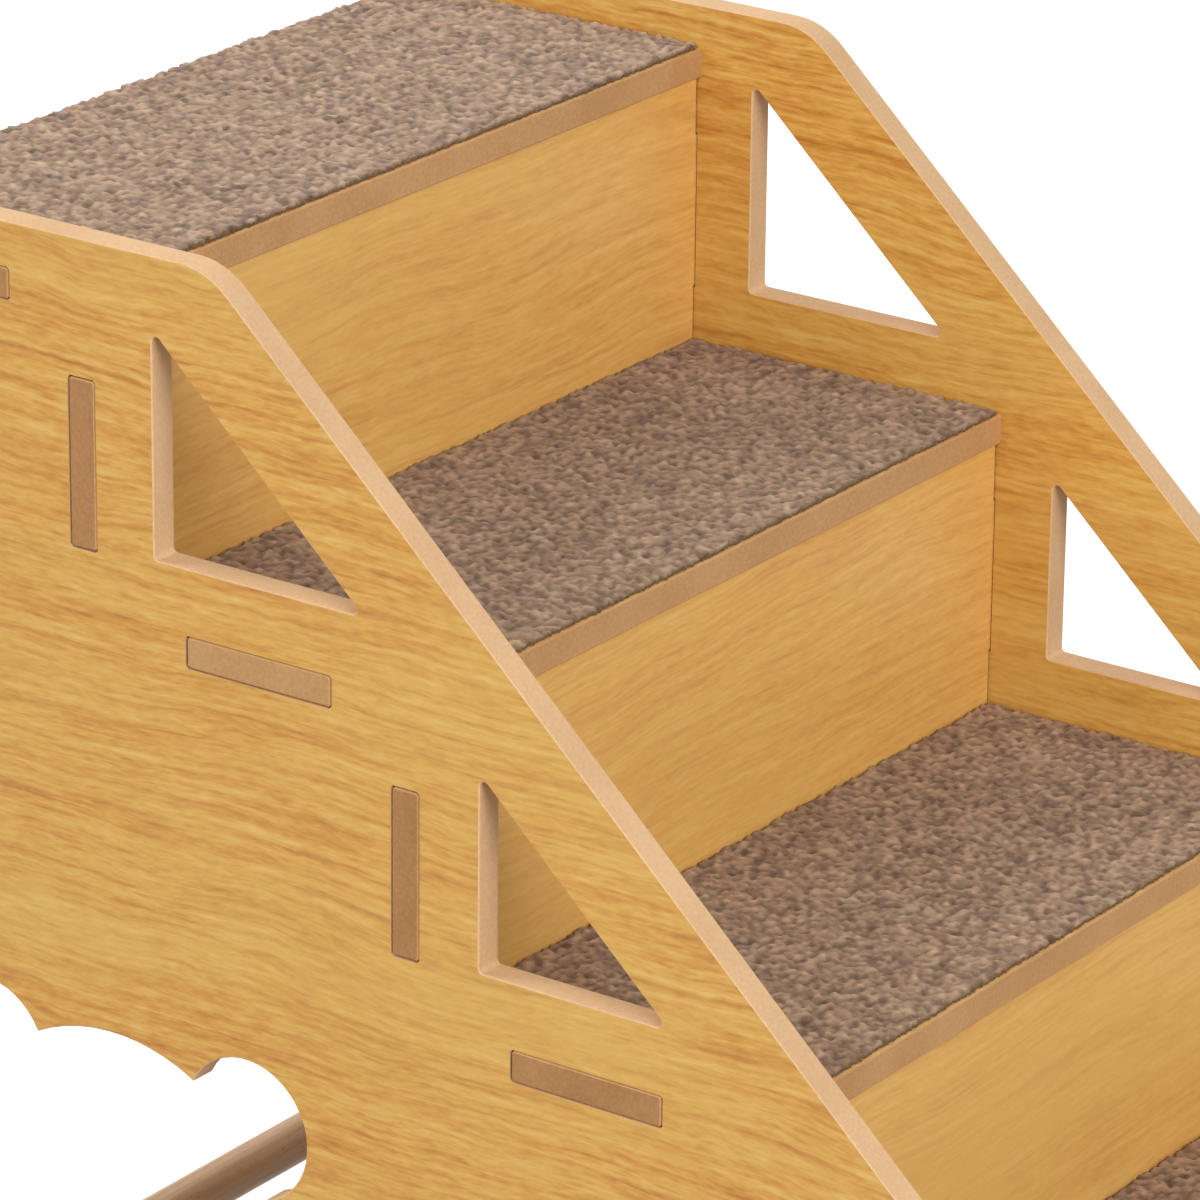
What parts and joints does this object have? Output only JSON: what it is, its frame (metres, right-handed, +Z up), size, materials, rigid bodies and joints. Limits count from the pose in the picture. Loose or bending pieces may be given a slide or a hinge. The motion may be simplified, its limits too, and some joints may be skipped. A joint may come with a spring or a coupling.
{
  "type": "pet stairs",
  "caption": "Free-standing wooden pet stairs: carpeted treads and plain risers tabbed into two side panels with triangular and scalloped cut-outs, drawn together by round rods.",
  "frame": {"origin": "on the floor, under the middle of the stairs' overall box", "axes": "+X across the stairs, +Y horizontal towards the high back end, +Z up; the pet climbs along +Y"},
  "size_m": [0.4004, 0.64, 0.518],
  "materials": {
    "oak_board": "12 mm fibreboard with a light oak grained foil, pale pinkish tan raw edges",
    "carpet": "short heather brown loop pile carpet",
    "rod_wood": "turned beech, clear matt lacquer",
    "insert_metal": "plain turned brass",
    "bolt_steel": "zinc plated",
    "grip_rubber": "matt black self-adhesive rubber"
  },
  "bodies": {
    "root": {"side_panel_left": "oak_board", "side_panel_right": "oak_board", "tread_1": "oak_board", "tread_2": "oak_board", "tread_3": "oak_board", "tread_4": "oak_board", "riser_1": "oak_board", "riser_2": "oak_board", "riser_3": "oak_board", "riser_4": "oak_board", "carpet_1": "carpet", "carpet_2": "carpet", "carpet_3": "carpet", "carpet_4": "carpet", "rod_front": "rod_wood", "rod_back_low": "rod_wood", "rod_back_high": "rod_wood", "rod_inserts": "insert_metal", "rod_bolts": "bolt_steel", "grip_pads": "grip_rubber"}
  },
  "joints": []
}
